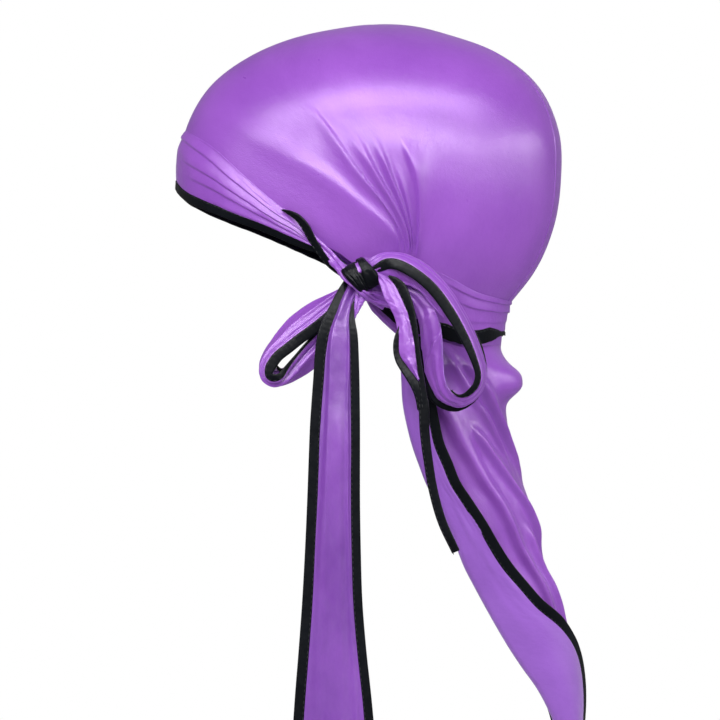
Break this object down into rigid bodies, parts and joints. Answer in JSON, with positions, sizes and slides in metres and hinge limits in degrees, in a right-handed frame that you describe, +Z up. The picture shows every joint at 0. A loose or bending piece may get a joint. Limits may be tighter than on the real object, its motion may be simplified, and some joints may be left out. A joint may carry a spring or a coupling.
{
  "type": "durag",
  "caption": "Satin durag tied for wearing: stretched crown, straps round brow and nape, side bow, two tie ends and a folded neck cape, all edged with dark binding.",
  "frame": {"origin": "inside of the crown's highest point, where the head carries it", "axes": "+Z up, -Y towards the wearer's front, +X towards the wearer's left, where the bow is"},
  "size_m": [0.1666, 0.2147, 0.3909],
  "materials": {
    "satin": "satin",
    "binding": "satin"
  },
  "bodies": {
    "root": {"crown": "satin", "brow_band": "satin", "brow_binding": "binding", "nape_band": "satin", "nape_binding": "binding", "temple_binding": "binding", "knot_front_wrap": "binding", "knot_core": "satin", "knot_back_wrap": "binding", "front_loop": "satin", "front_loop_binding": "binding", "rear_loop": "satin", "rear_loop_binding": "binding", "long_tie": "satin", "long_tie_front_binding": "binding", "long_tie_back_binding": "binding", "long_tie_end_binding": "binding", "short_tie": "satin", "short_tie_front_binding": "binding", "short_tie_back_binding": "binding", "short_tie_tail": "binding", "cape": "satin", "cape_binding": "binding", "cape_far_binding": "binding"}
  },
  "joints": []
}
